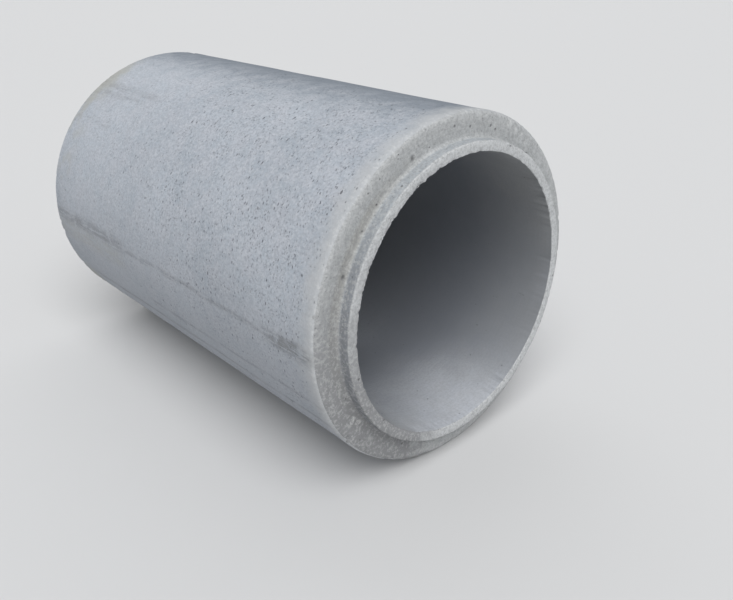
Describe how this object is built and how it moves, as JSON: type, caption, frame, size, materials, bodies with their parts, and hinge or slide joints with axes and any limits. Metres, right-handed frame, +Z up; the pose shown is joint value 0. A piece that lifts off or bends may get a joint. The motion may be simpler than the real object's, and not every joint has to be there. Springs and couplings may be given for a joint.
{
  "type": "concrete sewer pipe",
  "caption": "Thick-walled round concrete sewer pipe, with a tongue at one end and a matching groove at the other, laid end to end to carry drainage water.",
  "frame": {"origin": "on the floor, under the middle of the pipe's overall length", "axes": "+X along the pipe's axis towards the tongue, +Z up; the pipe lies on its side on Z = 0"},
  "size_m": [1.54, 1.0098, 1.0098],
  "materials": {
    "concrete": "matt dry-cast concrete with fine pores and pale worn edges"
  },
  "bodies": {
    "root": {"concrete_pipe": "concrete"}
  },
  "joints": []
}
